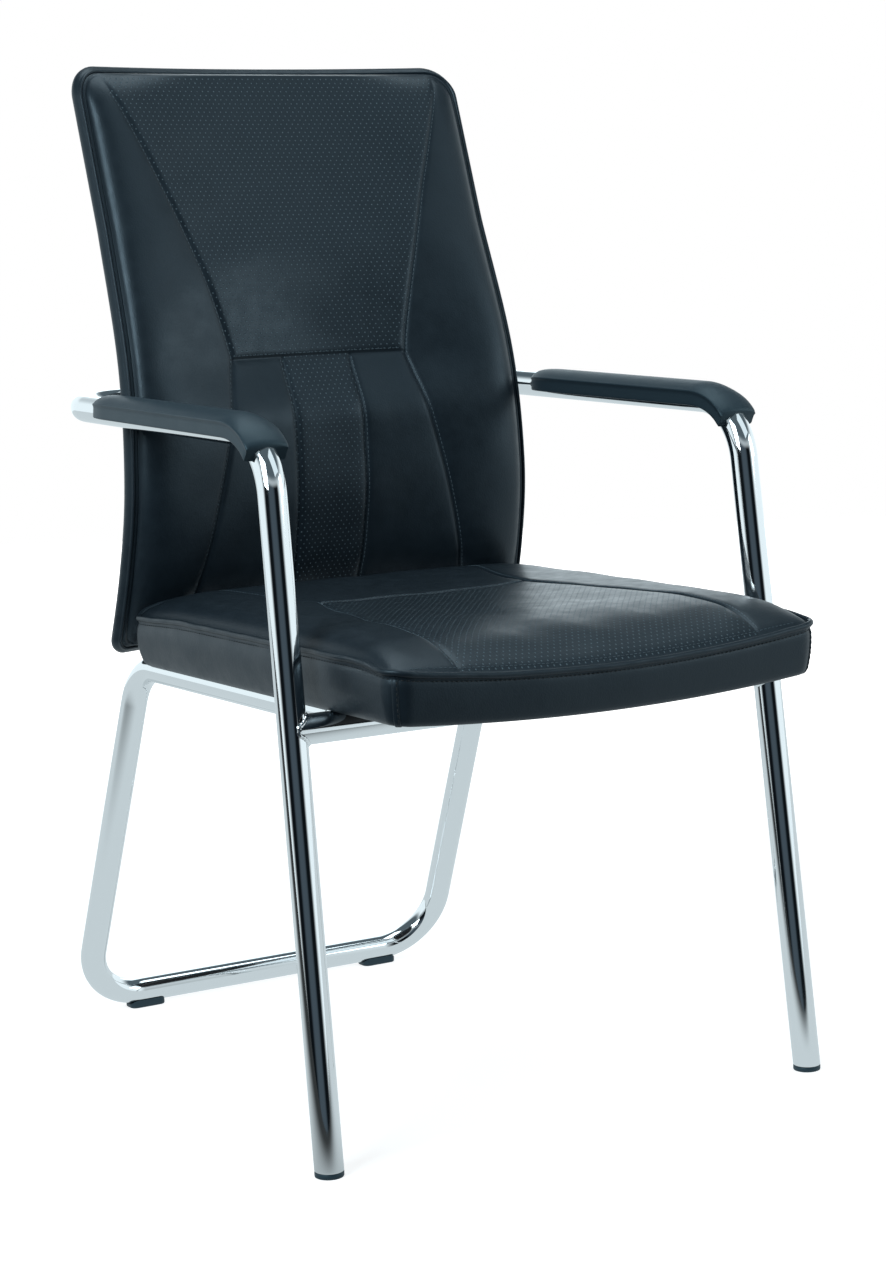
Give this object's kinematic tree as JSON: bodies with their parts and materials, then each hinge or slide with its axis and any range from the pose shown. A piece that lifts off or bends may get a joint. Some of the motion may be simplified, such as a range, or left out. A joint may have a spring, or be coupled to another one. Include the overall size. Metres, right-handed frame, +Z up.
{
  "type": "visitor chair",
  "caption": "Padded visitor chair with a high curved back and boxed seat on a bent chromed tube frame, with front legs that run on into arms and a rear loop that forms a sled bar.",
  "frame": {"origin": "on the floor, at the middle of the chair's bounding box", "axes": "+Z up, the front of the chair faces -Y, +X to the right when looking along +Y"},
  "size_m": [0.529, 0.6842, 0.9412],
  "materials": {
    "chrome_tube": "bright chromed steel tube",
    "seat_leather": "black bonded leather, fine grain, satin, perforated centre panel",
    "back_leather": "black bonded leather, fine grain, satin, perforated upper panel and strip",
    "plywood": "raw moulded plywood",
    "under_cover": "black non-woven cover",
    "moulded_plastic": "black moulded plastic with a fine grain",
    "painted_steel": "black powder coat",
    "zinc_bolt": "zinc plated"
  },
  "bodies": {
    "root": {"arm_leg_tube": "chrome_tube", "rear_loop_tube": "chrome_tube", "front_cross_bar": "chrome_tube", "seat_cushion": "seat_leather", "seat_board": "plywood", "seat_cover": "under_cover", "back_pad": "back_leather", "back_board": "plywood", "back_rear": "back_leather", "foot_plug_left": "moulded_plastic", "sled_glide_left": "moulded_plastic", "arm_pad_left": "moulded_plastic", "back_strap_upper_left": "painted_steel", "back_strap_lower_left": "painted_steel", "seat_bolt_strap_left": "zinc_bolt", "back_bolt_upper_left": "zinc_bolt", "back_bolt_lower_left": "zinc_bolt", "seat_tab_front_left": "painted_steel", "seat_bolt_front_left": "zinc_bolt", "seat_tab_rear_left": "painted_steel", "seat_bolt_rear_left": "zinc_bolt", "foot_plug_right": "moulded_plastic", "sled_glide_right": "moulded_plastic", "arm_pad_right": "moulded_plastic", "back_strap_upper_right": "painted_steel", "back_strap_lower_right": "painted_steel", "seat_bolt_strap_right": "zinc_bolt", "back_bolt_upper_right": "zinc_bolt", "back_bolt_lower_right": "zinc_bolt", "seat_tab_front_right": "painted_steel", "seat_bolt_front_right": "zinc_bolt", "seat_tab_rear_right": "painted_steel", "seat_bolt_rear_right": "zinc_bolt"}
  },
  "joints": []
}
